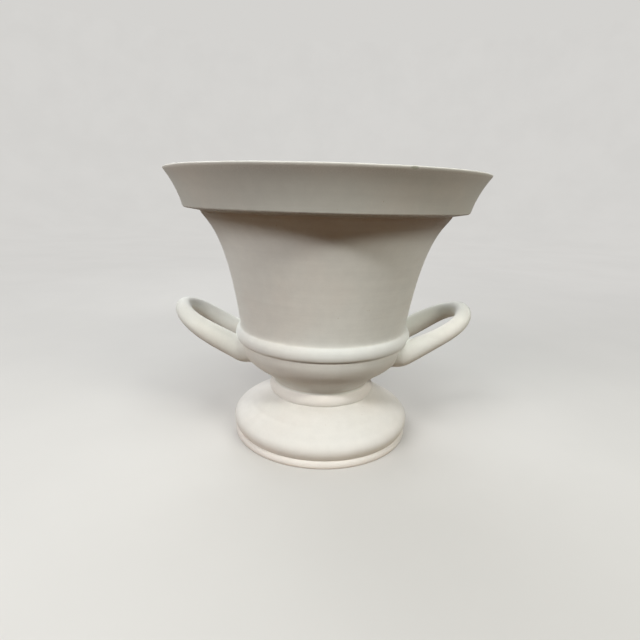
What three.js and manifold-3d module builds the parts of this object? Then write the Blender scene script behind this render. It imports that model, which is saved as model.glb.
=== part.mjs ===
// Two-handled vase of campana shape, in millimetres, +Z up.
// The origin is the centre of the base on the surface it stands on, the handles lie along +X and -X.
import * as THREE from 'three';
import { mergeVertices } from 'three/addons/utils/BufferGeometryUtils.js';
import Module from 'manifold-3d';

const wasm = await Module();
wasm.setup();

// Heights of the sections, stacked from the base to the lip
const plinthHeight = 6.3;
const domeHeight = 25.7;
const collarHeight = 8.7;
const bowlHeight = 32.5;
const beadHeight = 10.3;
const bellHeight = 81.2;
const bandHeight = 26.3;

// Outer radii, and how far a section stands outside the one that it meets
const baseRadius = 64.6;
const plinthFlare = 0.8;
const footBreakRadius = 53.5;
const pedestalRadius = 36;
const footNeckStep = 2.2;
const bellWaistRadius = 61;
const bowlStep = 1;
const bellMouthRadius = 86.8;
const bandLedge = 10.7;
const fasciaLean = 11.5;

// Walls, floor and lip
const bellWall = 5;
const bowlWall = 5;
const footWall = 6.5;
const bowlFloor = 7;
const bowlFloorRise = 18.3;
const lipWidth = 5.2;
const lipRound = 1.6;
const lipSetback = 0.4;
const fasciaHollow = 1.3;

// Profile curves: the steps out and up by which each one is pulled as it leaves its lower end,
// and as it reaches its upper end
const domeCurve = { leaves: [3.8, 3.7], reaches: [-12.1, 8.1] };
const collarCurve = { leaves: [2.3, 2.2], reaches: [-3.1, 1.2] };
const cavettoCurve = { leaves: [0.6, 3.8], reaches: [7, 5.1] };
const bellyCurve = { leaves: [8, 5.8], reaches: [0, 7.7] };
const beadCurve = { leaves: [3.6, 1.8], reaches: [-4, 1.2] };
const bellCurve = { leaves: [9.2, 71.8], reaches: [2.8, 7.5] };
const bowlInside = { cornerRise: 5, cornerReach: 5, steps: 9 };
const plinthBulge = 3.4;
const shoulderPull = { inward: 6, up: 4.9 };
const bandInsidePull = { inward: 6.6, down: 14.5 };

// Where the bowl's cavetto turns into its belly, and where the foot's belly turns into its shoulder
const bellyTurn = { out: 13.5, up: 12.9 };
const footBreakRise = 17.5;

// Hollow under the foot
const boreRound = 8;
const boreRoundReach = 0.65;
const hollowNeckDrop = 4.5;
const hollowPull = { inward: 4, down: 3.3 };
const skirtLand = 2;

// Seats where one section is luted to the next
const seatGap = 0.3;
const seatDepth = 2;
const tongueHeight = 3;
const spigotHeight = 6.3;
const spigotStep = 1.2;
const spigotWall = 3.6;
const bandRise = 1.8;

// Handles: a round loop that leaves the bowl under the bead and rises outward
const handleTipRadius = 103.4;
const handleRise = 26.7;
const handleSag = 1.9;
const handleLevelShare = 0.12;
const handleRootSize = 8.3;
const handleBendSize = 5.5;
const handleRootFlare = 2.4;
const handleFlareShare = 0.1;
const handleTail = 13;
const leftSet = { rootSpread: 18.5, loopSpread: 30.5, rootDrop: 6.2 };
const rightSet = { rootSpread: 24.5, loopSpread: 38, rootDrop: 4.4 };

// Fineness of the round shapes
const turnSteps = 48;
const curveSteps = 6;
const bellSteps = 10;
const lipSteps = 3;
const loopSteps = 32;
const loopSides = 14;

// Radii and levels where the sections meet
const plinthTopRadius = baseRadius + plinthFlare;
const footNeckRadius = pedestalRadius + footNeckStep;
const bowlRadius = bellWaistRadius + bowlStep;
const bandFootRadius = bellMouthRadius + bandLedge;
const lipRadius = bandFootRadius + fasciaLean;
const domeFoot = plinthHeight;
const collarFoot = domeFoot + domeHeight;
const bowlFoot = collarFoot + collarHeight;
const beadFoot = bowlFoot + bowlHeight;
const bellFoot = beadFoot + beadHeight;
const bandFoot = bellFoot + bellHeight;
const lipLevel = bandFoot + bandHeight;
const beadSeatRadius = bellWaistRadius - seatDepth;
const collarSeatRadius = pedestalRadius - seatDepth;
const pedestalBore = collarSeatRadius - footWall;
const bellJoint = beadFoot + beadHeight / 2;
const neckJoint = collarFoot + collarHeight / 2;
const spigotRadius = bellMouthRadius - spigotStep;
const spigotTop = bandFoot + spigotHeight;
const throatRadius = spigotRadius - spigotWall;

const at = (radius, height) => new THREE.Vector2(radius, height);

function arc(start, { leaves, reaches }, end, steps = curveSteps) {
  const firstPull = at(start.x + leaves[0], start.y + leaves[1]);
  const secondPull = at(end.x - reaches[0], end.y - reaches[1]);
  return new THREE.CubicBezierCurve(start, firstPull, secondPull, end).getPoints(steps);
}

function bend(start, pull, end, steps = curveSteps) {
  return new THREE.QuadraticBezierCurve(start, pull, end).getPoints(steps);
}

// Turns a closed outline round the vertical axis and merges the seam.
function turned(outline) {
  const closed = [...outline, outline[0].clone()];
  const area = THREE.ShapeUtils.area(outline);
  if (area < 0) closed.reverse();
  const lathe = new THREE.LatheGeometry(closed, turnSteps).rotateX(Math.PI / 2);
  return mergedSolid(lathe);
}

function mergedSolid(source) {
  const bare = source.clone();
  bare.deleteAttribute('normal');
  bare.deleteAttribute('uv');
  const merged = mergeVertices(bare, 1e-3);
  const corners = merged.index.array;
  const kept = [];
  for (let i = 0; i < corners.length; i += 3) {
    const [a, b, c] = [corners[i], corners[i + 1], corners[i + 2]];
    if (a !== b && b !== c && c !== a) kept.push(a, b, c);
  }
  merged.setIndex(kept);
  return merged;
}

function toManifold(geometry) {
  return new wasm.Manifold(new wasm.Mesh({
    numProp: 3,
    vertProperties: Float32Array.from(geometry.attributes.position.array),
    triVerts: Uint32Array.from(geometry.index.array),
  }));
}

function fromManifold(solid) {
  const mesh = solid.getMesh();
  const geometry = new THREE.BufferGeometry();
  geometry.setAttribute('position', new THREE.BufferAttribute(mesh.vertProperties, 3));
  geometry.setIndex(new THREE.BufferAttribute(mesh.triVerts, 1));
  return geometry;
}

// Outlines that neighbours share

function bowlOutside() {
  const turn = at(pedestalRadius + bellyTurn.out, bowlFoot + bellyTurn.up);
  const cavetto = arc(at(pedestalRadius, bowlFoot), cavettoCurve, turn);
  const belly = arc(turn, bellyCurve, at(bowlRadius, beadFoot));
  return [...cavetto, ...belly.slice(1)];
}

function beadOutside() {
  return arc(at(bowlRadius, beadFoot + seatGap), beadCurve, at(bellWaistRadius, bellFoot - seatGap));
}

function bellOutside() {
  return arc(at(bellWaistRadius, bellFoot), bellCurve, at(bellMouthRadius, bandFoot), bellSteps);
}

// Moves each point of an outline to its left by the wall.
function offsetInward(points, wall) {
  return points.map((point, i) => {
    const before = points[Math.max(i - 1, 0)];
    const after = points[Math.min(i + 1, points.length - 1)];
    const along = after.clone().sub(before).normalize();
    return at(point.x - along.y * wall, point.y + along.x * wall);
  });
}

// Sections

function footPlinth() {
  const inner = plinthTopRadius - footWall - tongueHeight;
  const top = plinthHeight - seatGap;
  return turned([
    at(inner, 0),
    ...bend(at(baseRadius, 0), at(baseRadius + plinthBulge, top / 2), at(plinthTopRadius, top)),
    at(inner + tongueHeight, top),
    at(inner + tongueHeight, top + tongueHeight),
    at(inner, top + tongueHeight),
  ]);
}

function footDome() {
  const skirt = plinthTopRadius - footWall + seatGap;
  const footBreak = at(footBreakRadius, domeFoot + footBreakRise);
  const belly = arc(at(plinthTopRadius, domeFoot), domeCurve, footBreak);
  const shoulder = bend(
    footBreak,
    at(footBreakRadius - shoulderPull.inward, footBreak.y + shoulderPull.up),
    at(footNeckRadius, collarFoot),
  );
  const hollow = bend(
    at(pedestalBore, collarFoot - hollowNeckDrop),
    at(skirt - hollowPull.inward, footBreak.y - hollowPull.down),
    at(skirt, domeFoot + tongueHeight + skirtLand),
  );
  return turned([
    ...belly,
    ...shoulder.slice(1),
    at(collarSeatRadius, collarFoot),
    at(collarSeatRadius, neckJoint - seatGap / 2),
    at(pedestalBore, neckJoint - seatGap / 2),
    ...hollow,
    at(skirt, domeFoot),
  ]);
}

function stemCollar() {
  const foot = collarFoot + seatGap;
  const top = bowlFoot - seatGap;
  return turned([
    at(collarSeatRadius + seatGap, foot),
    ...arc(at(footNeckRadius, foot), collarCurve, at(pedestalRadius, top)),
    at(collarSeatRadius + seatGap, top),
  ]);
}

function lowerBowl() {
  const floorTop = bowlFoot + bowlFloorRise;
  const ceiling = floorTop - bowlFloor;
  const innerRadius = beadSeatRadius - bowlWall;
  const rim = bellJoint - seatGap / 2;
  const inside = new THREE.CubicBezierCurve(
    at(innerRadius, rim),
    at(innerRadius, floorTop + bowlInside.cornerRise),
    at(innerRadius - bowlInside.cornerReach, floorTop),
    at(0, floorTop),
  );
  return turned([
    at(0, ceiling),
    ...bend(
      at(pedestalBore * boreRoundReach, ceiling),
      at(pedestalBore, ceiling),
      at(pedestalBore, ceiling - boreRound),
    ),
    at(pedestalBore, neckJoint + seatGap / 2),
    at(collarSeatRadius, neckJoint + seatGap / 2),
    at(collarSeatRadius, bowlFoot),
    ...bowlOutside(),
    at(beadSeatRadius, beadFoot),
    at(beadSeatRadius, rim),
    ...inside.getPoints(bowlInside.steps),
  ]);
}

function beadRing() {
  return turned([
    at(beadSeatRadius + seatGap, beadFoot + seatGap),
    ...beadOutside(),
    at(beadSeatRadius + seatGap, bellFoot - seatGap),
  ]);
}

function bellShell() {
  const outside = bellOutside();
  const inside = offsetInward(outside, bellWall).reverse();
  const foot = bellJoint + seatGap / 2;
  return turned([
    at(beadSeatRadius, foot),
    at(beadSeatRadius, bellFoot),
    ...outside,
    at(spigotRadius, bandFoot),
    at(spigotRadius, spigotTop),
    at(throatRadius, spigotTop),
    ...inside,
    at(beadSeatRadius - bowlWall, foot),
  ]);
}

function rimBand() {
  const foot = bandFoot + seatGap;
  const corner = at(bandFootRadius, bandFoot + bandRise);
  const lipEdge = at(lipRadius - lipSetback, lipLevel - 2 * lipRound);
  const middle = corner.clone().lerp(lipEdge, 0.5);
  const outerEdge = at(lipRadius, lipLevel - lipRound);
  const innerEdge = at(lipRadius - lipWidth, lipLevel - lipRound);
  const throat = at(throatRadius, spigotTop + seatGap);
  const insidePull = at(innerEdge.x - bandInsidePull.inward, lipLevel - bandInsidePull.down);
  return turned([
    at(spigotRadius + seatGap, foot),
    at(bellMouthRadius, foot),
    corner,
    ...bend(corner, at(middle.x - fasciaHollow, middle.y + fasciaHollow / 2), lipEdge).slice(1),
    ...bend(outerEdge, at(lipRadius, lipLevel), at(lipRadius - lipRound, lipLevel), lipSteps),
    ...bend(at(innerEdge.x + lipRound, lipLevel), at(innerEdge.x, lipLevel), innerEdge, lipSteps),
    ...bend(innerEdge, insidePull, throat).slice(1),
    at(spigotRadius + seatGap, throat.y),
  ]);
}

// The middle line of a handle, from its front root round the bend to its back root.
// It leaves the bowl level and then climbs, its arms spreading before they close at the bend.
class HandleLine extends THREE.Curve {
  constructor({ rootSpread, loopSpread, rootDrop }) {
    super();
    this.rootSpread = rootSpread;
    this.loopSpread = loopSpread;
    this.rootReach = Math.sqrt(bowlRadius ** 2 - rootSpread ** 2);
    this.reach = handleTipRadius - this.rootReach;
    this.rootLevel = beadFoot - rootDrop;
  }

  outward(t) {
    return Math.sin(Math.PI * t);
  }

  getPoint(t) {
    const out = this.outward(t);
    const side = Math.cos(Math.PI * t);
    const pinch = (this.rootSpread - this.loopSpread) * Math.sign(side) * side ** 4;
    const climb = handleRise * out - 4 * handleSag * out * (1 - out);
    const slopeAtRoot = handleRise - 4 * handleSag;
    const levelled = handleLevelShare * slopeAtRoot * Math.exp(-out / handleLevelShare);
    return new THREE.Vector3(
      this.rootReach + this.reach * out,
      -this.loopSpread * side - pinch,
      this.rootLevel + climb + levelled,
    );
  }
}

// A round tube along a line, its radius given along the way, with a level tail into the bowl at each end
function taperedTube(line, radiusAt) {
  const rings = [];
  const frames = line.computeFrenetFrames(loopSteps, false);
  const tail = (end) => line.getPointAt(end).add(new THREE.Vector3(-handleTail, 0, 0));
  for (let i = 0; i <= loopSteps; i += 1) {
    const along = i / loopSteps;
    rings.push({ centre: line.getPointAt(along), frame: i, radius: radiusAt(line.getUtoTmapping(along)) });
  }
  rings.unshift({ centre: tail(0), frame: 0, radius: rings[0].radius });
  rings.push({ centre: tail(1), frame: loopSteps, radius: rings[rings.length - 1].radius });

  const positions = [];
  for (const ring of rings) {
    for (let side = 0; side < loopSides; side += 1) {
      const turn = (2 * Math.PI * side) / loopSides;
      const point = ring.centre.clone();
      point.addScaledVector(frames.normals[ring.frame], ring.radius * Math.cos(turn));
      point.addScaledVector(frames.binormals[ring.frame], ring.radius * Math.sin(turn));
      positions.push(...point.toArray());
    }
  }
  const corners = [];
  for (let ring = 0; ring < rings.length - 1; ring += 1) {
    for (let side = 0; side < loopSides; side += 1) {
      const next = (side + 1) % loopSides;
      const [a, b] = [ring * loopSides + side, ring * loopSides + next];
      const [c, d] = [a + loopSides, b + loopSides];
      corners.push(a, b, d, a, d, c);
    }
  }
  const last = (rings.length - 1) * loopSides;
  for (let side = 1; side < loopSides - 1; side += 1) {
    corners.push(0, side + 1, side, last, last + side, last + side + 1);
  }
  const geometry = new THREE.BufferGeometry();
  geometry.setAttribute('position', new THREE.Float32BufferAttribute(positions, 3));
  geometry.setIndex(corners);
  return geometry;
}

// The space that the bowl, bead and bell fill, grown by the luting gap
function bodySpace() {
  const outside = [...bowlOutside(), ...beadOutside(), ...bellOutside()];
  const grown = outside.map((point) => at(point.x + seatGap, point.y));
  return toManifold(turned([at(0, bowlFoot), ...grown, at(0, bandFoot)]));
}

function handle(set, turnAngle) {
  const line = new HandleLine(set);
  const radiusAt = (t) => {
    const out = line.outward(t);
    const flare = handleRootFlare * Math.exp(-out / handleFlareShare);
    return handleRootSize + (handleBendSize - handleRootSize) * out + flare;
  };
  const tube = taperedTube(line, radiusAt).rotateZ(turnAngle);
  return fromManifold(toManifold(tube).subtract(bodySpace()));
}

// Matt off-white earthenware, a touch warmer low on the body
function earthenware(name, colour) {
  return new THREE.MeshStandardMaterial({ name, color: colour, roughness: 0.82, metalness: 0 });
}

const ivory = 0xe6e2d8;
const warmIvory = 0xe8e0d6;

const sections = [
  ['foot_plinth', footPlinth(), warmIvory],
  ['foot_dome', footDome(), warmIvory],
  ['stem_collar', stemCollar(), ivory],
  ['lower_bowl', lowerBowl(), ivory],
  ['bead_ring', beadRing(), ivory],
  ['bell_wall', bellShell(), ivory],
  ['rim_band', rimBand(), ivory],
  ['handle_left', handle(leftSet, Math.PI), warmIvory],
  ['handle_right', handle(rightSet, 0), warmIvory],
];

const group = new THREE.Group();
for (const [name, geometry, colour] of sections) {
  const mesh = new THREE.Mesh(geometry, earthenware(`${name}_clay`, colour));
  mesh.name = name;
  group.add(mesh);
}

export default group;
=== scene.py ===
import math

import bmesh
import bpy
import numpy as np
from bpy.props import FloatProperty, FloatVectorProperty, IntProperty, PointerProperty
from mathutils import Matrix, Vector


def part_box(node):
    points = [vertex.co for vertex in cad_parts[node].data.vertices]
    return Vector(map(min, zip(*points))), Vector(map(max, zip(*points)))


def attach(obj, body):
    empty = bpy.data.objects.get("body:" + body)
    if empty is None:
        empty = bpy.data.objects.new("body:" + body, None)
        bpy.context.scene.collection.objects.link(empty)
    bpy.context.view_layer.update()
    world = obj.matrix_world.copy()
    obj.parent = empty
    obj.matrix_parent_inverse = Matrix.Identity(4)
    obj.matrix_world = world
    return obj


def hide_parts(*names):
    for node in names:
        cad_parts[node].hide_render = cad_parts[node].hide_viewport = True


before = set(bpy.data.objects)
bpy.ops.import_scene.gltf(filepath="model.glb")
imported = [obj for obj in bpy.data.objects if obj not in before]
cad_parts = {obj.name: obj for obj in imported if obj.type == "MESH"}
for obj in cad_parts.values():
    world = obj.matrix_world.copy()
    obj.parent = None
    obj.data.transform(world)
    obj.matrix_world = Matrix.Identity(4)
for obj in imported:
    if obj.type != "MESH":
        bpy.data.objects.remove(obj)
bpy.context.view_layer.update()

bl_info = {
    "name": "Two-handled vase",
    "version": (1, 0, 0),
    "blender": (4, 5, 0),
    "location": "3D View > Sidebar > Vase",
    "description": "Makes the visible sections of a two-handled campana vase in matt earthenware",
    "category": "Object",
}

BODY = "root"
SHARP_ANGLE = math.radians(50)

# Lengths too short to matter: in a division, and between points that count as one
TINY = 1e-9
SAME_POINT = 1e-6

# Levels where the sections meet, from the frame. The groove shows a little under the plinth's top
SEAT_GAP = 0.0003
GROOVE_DROP = 0.0007
PLINTH_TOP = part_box("foot_dome")[0].z
FOOT_SEAM = PLINTH_TOP - GROOVE_DROP
COLLAR_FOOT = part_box("stem_collar")[0].z - SEAT_GAP
BOWL_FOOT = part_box("stem_collar")[1].z + SEAT_GAP
BEAD_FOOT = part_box("bead_ring")[0].z - SEAT_GAP
BELL_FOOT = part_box("bead_ring")[1].z + SEAT_GAP
BAND_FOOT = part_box("rim_band")[0].z - SEAT_GAP
LIP_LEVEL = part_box("rim_band")[1].z
SPIGOT_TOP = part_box("bell_wall")[1].z
BELL_JOINT = (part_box("bell_wall")[0].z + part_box("lower_bowl")[1].z) / 2

# Spacing of outline points: fine where it shows, coarse where it is hidden or inside
FINE = 0.0006
PLAIN = 0.0015
COARSE = 0.004

# What rounding takes off the lip's radius
LIP_SPARE = 0.0006


def size(name, default, description):
    return FloatProperty(name=name, default=default, description=description, unit="LENGTH", precision=5)


def colour(name, default, description):
    return FloatVectorProperty(
        name=name, default=default, description=description, subtype="COLOR", size=3, min=0, max=1
    )


def share(name, default, description):
    return FloatProperty(
        name=name, default=default, description=description, subtype="FACTOR", min=0, max=1
    )


def light(name, default, description):
    return FloatProperty(name=name, default=default, description=description, min=0)


def tilt(name, degrees, description):
    return FloatProperty(name=name, default=math.radians(degrees), description=description, subtype="ANGLE")


def unevenness(name, default):
    text = "How much thicker than the formula, and how much higher, the arm is at its middle"
    return FloatVectorProperty(
        name=name, default=default, description=text, size=2, unit="LENGTH", precision=5
    )


class VaseSizes(bpy.types.PropertyGroup):
    base_radius: size("Base radius", 0.0651, "Radius of the ring that stands on the table")
    plinth_radius: size("Plinth radius", 0.0647, "Radius at the groove over the plinth")
    plinth_bulge: size("Plinth bulge", 0.0008, "How far the plinth's edge is pulled out")
    groove_depth: size("Groove depth", 0.0004, "Depth of the groove between plinth and dome")
    break_radius: size("Foot break radius", 0.0535, "Radius where the foot's belly turns into its shoulder")
    break_rise: size("Foot break rise", 0.0175, "Height of that turn over the plinth")
    neck_radius: size("Foot neck radius", 0.0382, "Radius of the foot under the collar")
    pedestal_radius: size("Pedestal radius", 0.036, "Radius of the bowl's neck over the collar")
    bore_radius: size("Bore radius", 0.0275, "Radius of the hollow up the pedestal")
    bowl_radius: size("Bowl radius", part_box("lower_bowl")[1].x, "Radius of the bowl under the bead")
    waist_radius: size("Waist radius", 0.061, "Radius of the bell over the bead")
    mouth_radius: size("Mouth radius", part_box("bell_wall")[1].x, "Radius of the bell under the band")
    band_foot_radius: size("Band foot radius", 0.0975, "Radius of the band's lower corner")
    band_rise: size("Band rise", 0.0018, "How far the band's underside climbs to that corner")
    lip_radius: size("Lip radius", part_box("rim_band")[1].x + LIP_SPARE, "Radius of the lip before rounding")
    lip_width: size("Lip width", 0.0052, "Width of the flat of the lip")
    lip_round: size("Lip rounding", 0.0018, "Rounding of the lip's edges")
    lip_shoulder: size("Lip shoulder", 0.0036, "How far down its face the lip's rounding starts")
    fascia_hollow: size("Fascia hollow", 0.0027, "How far the band's face is drawn in at its middle")
    wall: size("Wall", 0.005, "Thickness of the bell's wall")
    edge_round: size("Edge rounding", 0.0009, "Rounding of the band's lower corner")
    turning_steps: IntProperty(
        name="Turning steps", default=320, min=48, max=512, description="Steps round each turned section"
    )
    wobble: size("Wobble", 0.00016, "How far the walls wander from a true circle")
    lip_wave: size("Lip wave", 0.00028, "How far the lip rises and falls along its edge")


class HandleSizes(bpy.types.PropertyGroup):
    tip_radius: size("Tip radius", 0.1034, "Distance of the bend's middle line from the axis")
    rise: size("Rise", 0.0267, "How far the bend stands over the roots")
    sag: size("Sag", 0.0019, "How far the arms hang under a straight line")
    level_share: share("Level share", 0.05, "Share of the reach over which an arm starts to climb")
    level_start: FloatProperty(
        name="Level start", default=-0.03,
        description="Where an arm starts to climb, as a share of the reach past the bowl's edge",
    )
    root_size: size("Root radius", 0.0083, "Radius of an arm near the bowl")
    bend_size: size("Bend radius", 0.0055, "Radius of the tube at the bend")
    root_flare: size("Root flare", 0.0022, "How much an arm swells as it goes into the bowl")
    flare_share: share("Flare share", 0.05, "Share of the reach over which it swells")
    fade_share: share("Fade share", 0.28, "Share of the reach over which the swelling ends inside the bowl")
    turn_share: share("Turn share", 0.04, "Share of the reach over which an arm turns towards the axis")
    tail: size("Tail", 0.013, "Length of the tube that runs into the bowl")
    left_spread: size("Left root spread", 0.0185, "Half the distance between the left roots")
    left_loop: size("Left loop spread", 0.0305, "Half the width of the left loop")
    left_drop: size("Left root drop", 0.0056, "How far the left roots sit under the bead's foot")
    right_spread: size("Right root spread", 0.0245, "Half the distance between the right roots")
    right_loop: size("Right loop spread", 0.038, "Half the width of the right loop")
    right_drop: size("Right root drop", 0.0044, "How far the right roots sit under the bead's foot")
    left_front: unevenness("Left front arm", (0.0006, 0.0006))
    left_back: unevenness("Left back arm", (0.0, 0.0))
    right_front: unevenness("Right front arm", (-0.0007, 0.0008))
    right_back: unevenness("Right back arm", (0.0008, 0.0005))
    fillet: size("Root fillet", 0.0014, "Radius of the slip that fills the corner round a root")
    fillet_share: share("Fillet share", 0.4, "How full that fillet is")
    root_depth: size("Root depth", 0.0015, "How deep an arm is set into the bowl")
    dents: size("Dents", 0.00022, "Depth of the soft finger dents")


class ClayLook(bpy.types.PropertyGroup):
    body: colour("Body colour", (0.80, 0.815, 0.785), "Clay of the bell and the bowl")
    # Painted shade: the band's clay is set darker than the body's, standing in for the shade on its
    # down-facing face.
    band: colour("Band colour", (0.60, 0.61, 0.57), "Clay of the rim band, greyer with age than the rest")
    # Painted highlight: the bead's clay is set paler than the body's, standing in for the light on its
    # up-facing top.
    bead: colour("Bead colour", (0.84, 0.865, 0.85), "Clay of the bead, rubbed a shade paler")
    foot: colour("Foot colour", (0.82, 0.815, 0.79), "Clay of the domed foot")
    # Painted highlight: the plinth's and the collar's clay is set paler than the body's, standing in for the
    # light on their rounded tops.
    pale: colour("Pale colour", (0.91, 0.895, 0.87), "Clay of the plinth and the collar, a shade paler")
    # Painted light: the handles' clay is set paler than the body's, standing in for light on the arms.
    handles: colour("Handle colour", (0.86, 0.88, 0.845), "Clay of the handles")
    warm: colour("Warm patches", (0.80, 0.70, 0.62), "Tint of the faint pinkish patches")
    cool: colour("Cool patches", (0.73, 0.735, 0.68), "Tint of the faint greenish patches")
    # Crease tone: settled dirt and painted shade in creases and round the handles' roots; also used for the
    # pits and for the painted shade inside.
    crease: colour("Crease dust", (0.46, 0.38, 0.28), "Dust that settles in the creases")
    patchiness: share("Patchiness", 0.20, "How much the patches show")
    streaks: share("Turning streaks", 0.35, "How much the marks of turning show")
    # Painted shade: how far the inner walls and floor are darkened toward the crease tone, standing in for
    # the shade inside the pot.
    inner_painted_shade: share("Inner dullness", 0.5, "How much dust dulls the inner walls")
    roughness: share("Roughness", 0.62, "How matt the surface is")


class StageLook(bpy.types.PropertyGroup):
    floor: colour("Floor colour", (0.66, 0.65, 0.63), "Colour of the floor as it is seen")
    bounce: colour("Bounce colour", (0.085, 0.042, 0.017), "Colour of the light that the floor sends up")
    near_bounce: colour("Near bounce colour", (0.28, 0.18, 0.10), "The same close round the foot")
    left_level: light("Left light", 0.57, "Light from the left front")
    right_level: light("Right light", 0.46, "Light from the right front")
    high_level: light("High light", 0.38, "Light from high in front")
    back_level: light("Back light", 0.72, "Light from the window behind")
    sky_level: light("Sky light", 0.04, "Light from all round")
    camera_place: FloatVectorProperty(
        name="Camera place", default=(-0.00397, -0.33485, 0.17484), size=3, subtype="TRANSLATION",
        precision=5, description="Where the camera stands",
    )
    camera_pitch: tilt("Camera pitch", 14.968, "How far the camera looks down")
    camera_roll: tilt("Camera roll", 1.589, "How far the camera leans")
    camera_yaw: tilt("Camera yaw", 0.303, "How far the camera looks right")
    lens: FloatProperty(name="Lens", default=25.875, subtype="DISTANCE_CAMERA", description="Focal length")


def sizes():
    return bpy.context.scene.vase_sizes


# Outlines, as arrays of (radius, height)

def unit(steps):
    """The step, or each row of steps, scaled to a length of one."""
    return steps / np.maximum(np.linalg.norm(steps, axis=-1, keepdims=True), TINY)


def pulled(*pulls, spacing=FINE):
    """Points along the Bezier curve that the given points pull."""
    pulls = [np.asarray(p, float) for p in pulls]
    reach = sum(np.linalg.norm(b - a) for a, b in zip(pulls, pulls[1:]))
    t = np.linspace(0, 1, max(3, math.ceil(reach / spacing)) + 1)[:, None]
    while len(pulls) > 1:
        pulls = [a * (1 - t) + b * t for a, b in zip(pulls, pulls[1:])]
    return pulls[0]


def arc(start, leaves, reaches, end, spacing=FINE):
    """A curve that leaves start by one step and reaches end by another."""
    start, end = np.asarray(start, float), np.asarray(end, float)
    return pulled(start, start + leaves, end - np.asarray(reaches, float), end, spacing=spacing)


def line(start, end, spacing=PLAIN):
    return pulled(start, end, spacing=spacing)


def closed(*runs):
    """Joins runs end to end. Between two runs stands the radius of the corner that they make."""
    curves, radii = list(runs[0::2]), list(runs[1::2])
    count = len(curves)
    corners = [curves[i][-1] for i in range(count)]
    out = []
    for i, run in enumerate(curves):
        before, after = corners[i - 1], corners[i]
        keep = np.ones(len(run), bool)
        keep &= np.linalg.norm(run - before, axis=1) > max(radii[i - 1], SAME_POINT)
        keep &= np.linalg.norm(run - after, axis=1) > max(radii[i], SAME_POINT)
        out.append(run[keep] if keep.any() else run[len(run) // 2:len(run) // 2 + 1])
    joined = []
    for i, run in enumerate(out):
        joined.extend(run)
        following = out[(i + 1) % count]
        if radii[i] > 0:
            joined.extend(pulled(run[-1], corners[i], following[0], spacing=FINE / 2)[1:-1])
        else:
            joined.append(corners[i])
    return np.array(joined)


def offset_inward(outline, wall):
    """Moves each point of an outline that climbs on the outside to its left by the wall."""
    along = unit(np.gradient(outline, axis=0))
    return outline + wall * np.stack([-along[:, 1], along[:, 0]], 1)


# The length over which turns add up to a relief, and the turn that gives a relief of 1
RELIEF_REACH = 0.0008
RELIEF_TURN = 0.9


def relief(outline):
    """How sharply the closed outline turns at each point: over 0 at an edge, under 0 in a crease."""
    before = outline - np.roll(outline, 1, axis=0)
    after = np.roll(outline, -1, axis=0) - outline
    turn = before[:, 0] * after[:, 1] - before[:, 1] * after[:, 0]
    angle = np.arctan2(turn, (before * after).sum(1))
    length = np.linalg.norm(after, axis=1)
    place = np.concatenate([[0], np.cumsum(length)])[:-1]
    total = length.sum()
    apart = np.abs(place[:, None] - place[None, :])
    apart = np.minimum(apart, total - apart)
    near = np.exp(-0.5 * (apart / RELIEF_REACH) ** 2)
    return np.clip((near @ angle) / RELIEF_TURN, -1, 1)


# What counts as the bowl's floor: its radius, and how level it runs
BOWL_FLOOR_RADIUS = 0.05
BOWL_FLOOR_LEVEL = 0.5


def hollow(outline):
    """How far the closed outline faces into the pot: 1 on its inner walls and floor, 0 outside."""
    along = unit(np.roll(outline, -1, axis=0) - np.roll(outline, 1, axis=0))
    level = along[:, 0] < -BOWL_FLOOR_LEVEL
    floor = level & (outline[:, 1] > BOWL_FOOT) & (outline[:, 0] < BOWL_FLOOR_RADIUS)
    return np.maximum(np.clip(-2 * along[:, 1], 0, 1), floor)


# Fits and corners that several sections share
HAIR = 0.0001
SEAT_INSET = 0.002
BAND_SEAT = 0.0012
SPIGOT_WIDTH = 0.0036
SMALL_ROUND = 0.0005
MEDIUM_ROUND = 0.001
LARGE_ROUND = 0.002

# The curves: the step with which each leaves its first point, and the one with which it reaches its last
CAVETTO = ((0.0006, 0.0038), (0.007, 0.0051))
BELLY = ((0.008, 0.0058), (0, 0.0077))
BEAD = ((0.0036, 0.0018), (-0.004, 0.0012))
BEAD_FACE = ((0.0042, 0.0014), (-0.0043, 0.0012))
BELL = ((0.0092, 0.0718), (0.0028, 0.0075))
DOME_BELLY = ((0.0046, 0.0080), (-0.0125, 0.0062))
COLLAR = ((0.0026, 0.0024), (-0.0034, 0.0009))

# Where the cavetto turns into the belly, from the bowl's foot
BELLY_TURN = (0.0135, 0.0129)


def bowl_outside():
    """The cavetto over the collar, and the belly up to the bead."""
    s = sizes()
    foot = np.array([s.pedestal_radius, BOWL_FOOT])
    turn = foot + BELLY_TURN
    cavetto = arc(foot, *CAVETTO, turn, PLAIN / 2)
    belly = arc(turn, *BELLY, (s.bowl_radius, BEAD_FOOT), PLAIN / 2)
    return np.concatenate([cavetto, belly[1:]])


def bead_outside():
    s = sizes()
    return arc((s.bowl_radius, BEAD_FOOT), *BEAD, (s.waist_radius, BELL_FOOT))


def bell_outside():
    s = sizes()
    return arc((s.waist_radius, BELL_FOOT), *BELL, (s.mouth_radius, BAND_FOOT), PLAIN)


# Plinth: its width and step, the pulls of its edge over the table and under the seam, groove and corners
PLINTH_WIDTH = 0.0095
PLINTH_STEP = 0.003
BULGE_FOOT = 0.0012
BULGE_TOP = 0.0022
GROOVE_RISE = 0.0003
BASE_ROUND = 0.0003
INNER_ROUND = 0.0008


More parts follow.
